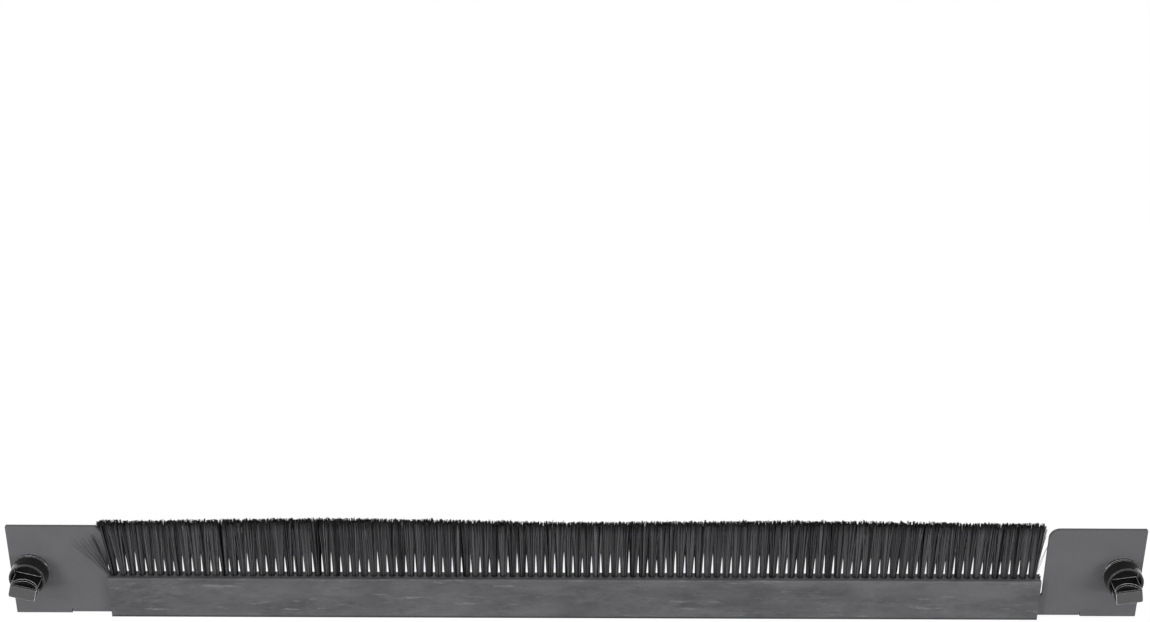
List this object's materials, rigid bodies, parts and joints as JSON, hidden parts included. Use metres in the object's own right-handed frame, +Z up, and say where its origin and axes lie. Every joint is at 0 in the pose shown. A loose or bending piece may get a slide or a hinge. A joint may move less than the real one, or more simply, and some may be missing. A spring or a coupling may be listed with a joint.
{
  "type": "rack brush strip panel",
  "caption": "Rack cable-entry panel: a folded steel plate with a clip-on brush strip between its ears and a turn-lock fastener in each ear.",
  "frame": {"origin": "middle of the plate's rear face, the plane that lies against the rack's rails, at mid height between the ears", "axes": "+X along the panel to the right as seen from the front, +Y into the rack, +Z up, the way the bristles point"},
  "size_m": [0.4826, 0.0279, 0.0476],
  "materials": {
    "powder_coated_steel": "fine textured powder coat, dark grey, matte",
    "holder_plastic": "dark grey plastic, lightly scuffed",
    "bristle": "black synthetic fibres",
    "anchor_wire": "flat wire, hidden in the holder",
    "fastener_plastic": "glossy black plastic",
    "knob_plastic": "glossy black plastic"
  },
  "bodies": {
    "panel": {"panel_plate": "powder_coated_steel", "brush_holder": "holder_plastic", "tuft_anchors": "anchor_wire", "brush_tufts_01": "bristle", "brush_tufts_02": "bristle", "brush_tufts_03": "bristle", "brush_tufts_04": "bristle", "brush_tufts_05": "bristle", "brush_tufts_06": "bristle", "brush_tufts_07": "bristle", "brush_tufts_08": "bristle", "brush_tufts_09": "bristle", "brush_tufts_10": "bristle", "brush_tufts_11": "bristle", "brush_tufts_12": "bristle", "brush_tufts_13": "bristle", "brush_tufts_14": "bristle", "brush_tufts_15": "bristle", "brush_tufts_16": "bristle", "brush_tufts_17": "bristle", "brush_tufts_18": "bristle", "brush_tufts_19": "bristle", "brush_tufts_20": "bristle", "brush_tufts_21": "bristle", "brush_tufts_22": "bristle", "brush_tufts_23": "bristle", "brush_tufts_24": "bristle", "brush_tufts_25": "bristle", "left_plug": "fastener_plastic", "right_plug": "fastener_plastic"},
    "left_turn_knob": {"left_knob": "knob_plastic"},
    "right_turn_knob": {"right_knob": "knob_plastic"}
  },
  "joints": [
    {"name": "left_knob_turn", "type": "hinge", "parent": "panel", "child": "left_turn_knob", "pos_m": [-0.23255, 0, 0], "axis": [0, -1, 0], "range_deg": [-5, 85]},
    {"name": "right_knob_turn", "type": "hinge", "parent": "panel", "child": "right_turn_knob", "pos_m": [0.23255, 0, 0], "axis": [0, -1, 0], "range_deg": [-85, 5]}
  ]
}
